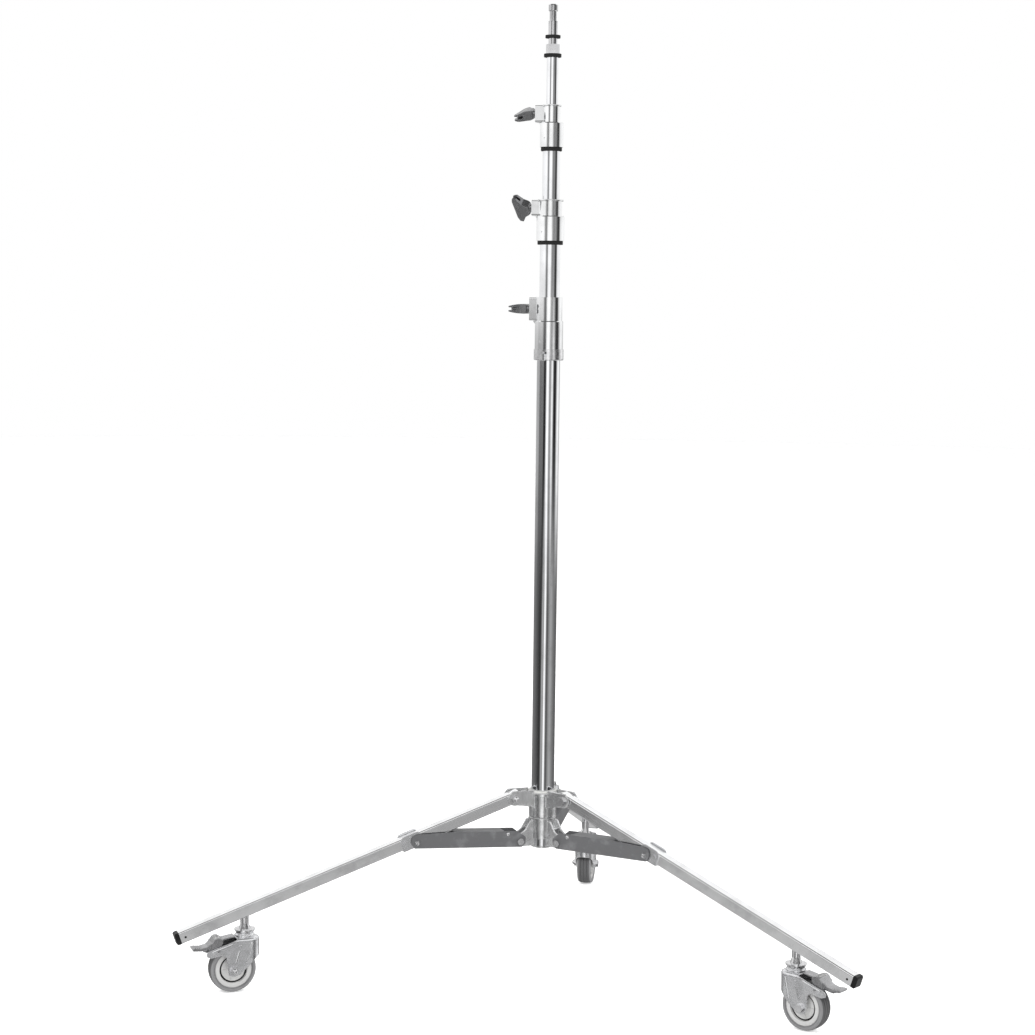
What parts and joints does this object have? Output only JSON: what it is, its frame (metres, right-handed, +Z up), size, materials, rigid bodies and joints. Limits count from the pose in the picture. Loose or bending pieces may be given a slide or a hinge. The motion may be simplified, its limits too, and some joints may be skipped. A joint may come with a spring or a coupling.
{
  "type": "roller light stand",
  "caption": "Telescopic chrome light stand on a folding low base with braked casters, clamp collars with T-knobs and a lighting stud on top.",
  "frame": {"origin": "point on the floor under the column's axis", "axes": "+Z up along the column; one leg points along +Y, the other two along -30 and 210 degrees from +X"},
  "size_m": [1.1496, 0.9965, 1.6743],
  "materials": {
    "chrome_tube": "bright chrome plate on drawn steel tube, faint lengthwise draw lines",
    "cast_zinc": "die casting, lightly blasted, satin grey",
    "satin_zinc": "die casting, satin nickel plate",
    "plated_steel": "bright zinc plated fasteners",
    "zinc_plate": "zinc plated pressed sheet, soft spangle",
    "leg_tube": "satin chrome plate on square steel tube",
    "brace_steel": "grey enamel on pressed steel",
    "pedal_steel": "dark plated pressed steel, ribbed tab",
    "dark_knob": "dark grey powder coat on a casting",
    "stud_steel": "turned steel, fine tool marks, bright zinc",
    "black_rubber": "matt black rubber",
    "black_plastic": "moulded black plastic, fine grain",
    "nylon": "natural nylon",
    "grey_tyre": "non-marking grey rubber",
    "rim_plastic": "light grey moulded plastic",
    "brass": "plain brass pressure pad"
  },
  "bodies": {
    "base": {"column_tube": "chrome_tube", "column_plug": "cast_zinc", "lower_hub": "cast_zinc", "lower_hub_screws": "plated_steel", "lower_hub_pins": "plated_steel", "collar_lower": "satin_zinc", "collar_lower_band": "plated_steel", "collar_lower_shoe": "brass"},
    "knob_lower": {"knob_lower": "dark_knob"},
    "riser_1_slide": {"riser_1_bush": "nylon"},
    "riser_1": {"riser_1_tube": "chrome_tube", "collar_middle": "satin_zinc", "collar_middle_ring": "black_rubber", "collar_middle_shoe": "brass"},
    "knob_middle": {"knob_middle": "dark_knob"},
    "riser_2_slide": {"riser_2_bush": "nylon"},
    "riser_2": {"riser_2_tube": "chrome_tube", "collar_upper": "satin_zinc", "collar_upper_ring": "black_rubber", "collar_upper_shoe": "brass"},
    "knob_upper": {"knob_upper": "dark_knob"},
    "riser_3_slide": {"riser_3_bush": "nylon"},
    "riser_3": {"riser_3_tube": "chrome_tube", "spigot": "stud_steel", "spigot_rings": "black_rubber"},
    "hub": {"upper_hub": "cast_zinc", "upper_hub_liner": "nylon", "upper_hub_bolts": "plated_steel"},
    "hub_lock": {"hub_lock": "plated_steel"},
    "leg_right": {"leg_right_tube": "leg_tube", "leg_right_end_cap": "black_plastic", "leg_right_saddle": "zinc_plate", "caster_right_stem": "plated_steel"},
    "brace_right": {"brace_right": "brace_steel"},
    "caster_right": {"caster_right_fork": "zinc_plate", "caster_right_axle": "plated_steel"},
    "wheel_right": {"caster_right_rim": "rim_plastic", "caster_right_tyre": "grey_tyre"},
    "pedal_right": {"caster_right_pedal": "pedal_steel"},
    "leg_rear": {"leg_rear_tube": "leg_tube", "leg_rear_end_cap": "black_plastic", "leg_rear_saddle": "zinc_plate", "caster_rear_stem": "plated_steel"},
    "brace_rear": {"brace_rear": "brace_steel"},
    "caster_rear": {"caster_rear_fork": "zinc_plate", "caster_rear_axle": "plated_steel"},
    "wheel_rear": {"caster_rear_rim": "rim_plastic", "caster_rear_tyre": "grey_tyre"},
    "pedal_rear": {"caster_rear_pedal": "pedal_steel"},
    "leg_left": {"leg_left_tube": "leg_tube", "leg_left_end_cap": "black_plastic", "leg_left_saddle": "zinc_plate", "caster_left_stem": "plated_steel"},
    "brace_left": {"brace_left": "brace_steel"},
    "caster_left": {"caster_left_fork": "zinc_plate", "caster_left_axle": "plated_steel"},
    "wheel_left": {"caster_left_rim": "rim_plastic", "caster_left_tyre": "grey_tyre"},
    "pedal_left": {"caster_left_pedal": "pedal_steel"}
  },
  "joints": [
    {"name": "riser_1_lift", "type": "slide", "parent": "base", "child": "riser_1_slide", "axis": [0, 0, 1], "range_m": [-0.087, 0.59]},
    {"name": "riser_1_turn", "type": "hinge", "parent": "riser_1_slide", "child": "riser_1", "pos_m": [0, 0, 0.9], "axis": [0, 0, 1], "continuous": true},
    {"name": "riser_2_lift", "type": "slide", "parent": "riser_1", "child": "riser_2_slide", "axis": [0, 0, 1], "range_m": [-0.0794, 0.59]},
    {"name": "riser_2_turn", "type": "hinge", "parent": "riser_2_slide", "child": "riser_2", "pos_m": [0, 0, 0.9], "axis": [0, 0, 1], "continuous": true},
    {"name": "riser_3_lift", "type": "slide", "parent": "riser_2", "child": "riser_3_slide", "axis": [0, 0, 1], "range_m": [-0.077, 0.59]},
    {"name": "riser_3_turn", "type": "hinge", "parent": "riser_3_slide", "child": "riser_3", "pos_m": [0, 0, 0.9], "axis": [0, 0, 1], "continuous": true},
    {"name": "knob_lower_turn", "type": "hinge", "parent": "base", "child": "knob_lower", "pos_m": [-0.03864, 0.01035, 1.156], "axis": [-0.9659, 0.2588, 0], "range_deg": [-360, 0]},
    {"name": "knob_middle_turn", "type": "hinge", "parent": "riser_1", "child": "knob_middle", "pos_m": [-0.03864, 0.01035, 1.3296], "axis": [-0.9659, 0.2588, 0], "range_deg": [-360, 0]},
    {"name": "knob_upper_turn", "type": "hinge", "parent": "riser_2", "child": "knob_upper", "pos_m": [-0.03864, 0.01035, 1.4897], "axis": [-0.9659, 0.2588, 0], "range_deg": [-360, 0]},
    {"name": "hub_slide", "type": "slide", "parent": "base", "child": "hub", "axis": [0, 0, 1], "range_m": [0, 0.29516]},
    {"name": "hub_lock_turn", "type": "hinge", "parent": "hub", "child": "hub_lock", "pos_m": [-0.02598, 0.015, 0.284], "axis": [-0.866, 0.5, 0], "range_deg": [-360, 0]},
    {"name": "leg_right_fold", "type": "hinge", "parent": "hub", "child": "leg_right", "pos_m": [0.0485, -0.028, 0.301], "axis": [0.5, 0.866, 0], "range_deg": [0, 59.3]},
    {"name": "brace_right_fold", "type": "hinge", "parent": "base", "child": "brace_right", "pos_m": [0.03984, -0.023, 0.224], "axis": [-0.5, -0.866, 0], "range_deg": [0, 73.27]},
    {"name": "caster_right_swivel", "type": "hinge", "parent": "leg_right", "child": "caster_right", "pos_m": [0.46506, -0.2685, 0.1], "axis": [0, 0, 1], "continuous": true},
    {"name": "wheel_right_spin", "type": "hinge", "parent": "caster_right", "child": "wheel_right", "pos_m": [0.48411, -0.2795, 0.04], "axis": [0.5, 0.866, 0], "continuous": true},
    {"name": "pedal_right_press", "type": "hinge", "parent": "caster_right", "child": "pedal_right", "pos_m": [0.50662, -0.2925, 0.0755], "axis": [0.5, 0.866, 0], "range_deg": [0, 10]},
    {"name": "leg_rear_fold", "type": "hinge", "parent": "hub", "child": "leg_rear", "pos_m": [0, 0.056, 0.301], "axis": [-1, 0, 0], "range_deg": [0, 59.3]},
    {"name": "brace_rear_fold", "type": "hinge", "parent": "base", "child": "brace_rear", "pos_m": [0, 0.046, 0.224], "axis": [1, 0, 0], "range_deg": [0, 73.27]},
    {"name": "caster_rear_swivel", "type": "hinge", "parent": "leg_rear", "child": "caster_rear", "pos_m": [0, 0.537, 0.1], "axis": [0, 0, 1], "continuous": true},
    {"name": "wheel_rear_spin", "type": "hinge", "parent": "caster_rear", "child": "wheel_rear", "pos_m": [0, 0.559, 0.04], "axis": [-1, 0, 0], "continuous": true},
    {"name": "pedal_rear_press", "type": "hinge", "parent": "caster_rear", "child": "pedal_rear", "pos_m": [0, 0.585, 0.0755], "axis": [-1, 0, 0], "range_deg": [0, 10]},
    {"name": "leg_left_fold", "type": "hinge", "parent": "hub", "child": "leg_left", "pos_m": [-0.0485, -0.028, 0.301], "axis": [0.5, -0.866, 0], "range_deg": [0, 59.3]},
    {"name": "brace_left_fold", "type": "hinge", "parent": "base", "child": "brace_left", "pos_m": [-0.03984, -0.023, 0.224], "axis": [-0.5, 0.866, 0], "range_deg": [0, 73.27]},
    {"name": "caster_left_swivel", "type": "hinge", "parent": "leg_left", "child": "caster_left", "pos_m": [-0.46506, -0.2685, 0.1], "axis": [0, 0, 1], "continuous": true},
    {"name": "wheel_left_spin", "type": "hinge", "parent": "caster_left", "child": "wheel_left", "pos_m": [-0.48411, -0.2795, 0.04], "axis": [0.5, -0.866, 0], "continuous": true},
    {"name": "pedal_left_press", "type": "hinge", "parent": "caster_left", "child": "pedal_left", "pos_m": [-0.50662, -0.2925, 0.0755], "axis": [0.5, -0.866, 0], "range_deg": [0, 10]}
  ],
  "couplings": [
    {"joint": "leg_right_fold", "follows": "hub_slide", "rad_per_m": 3.5065},
    {"joint": "brace_right_fold", "follows": "hub_slide", "rad_per_m": 4.3328},
    {"joint": "leg_rear_fold", "follows": "hub_slide", "rad_per_m": 3.5065},
    {"joint": "brace_rear_fold", "follows": "hub_slide", "rad_per_m": 4.3328},
    {"joint": "leg_left_fold", "follows": "hub_slide", "rad_per_m": 3.5065},
    {"joint": "brace_left_fold", "follows": "hub_slide", "rad_per_m": 4.3328}
  ]
}
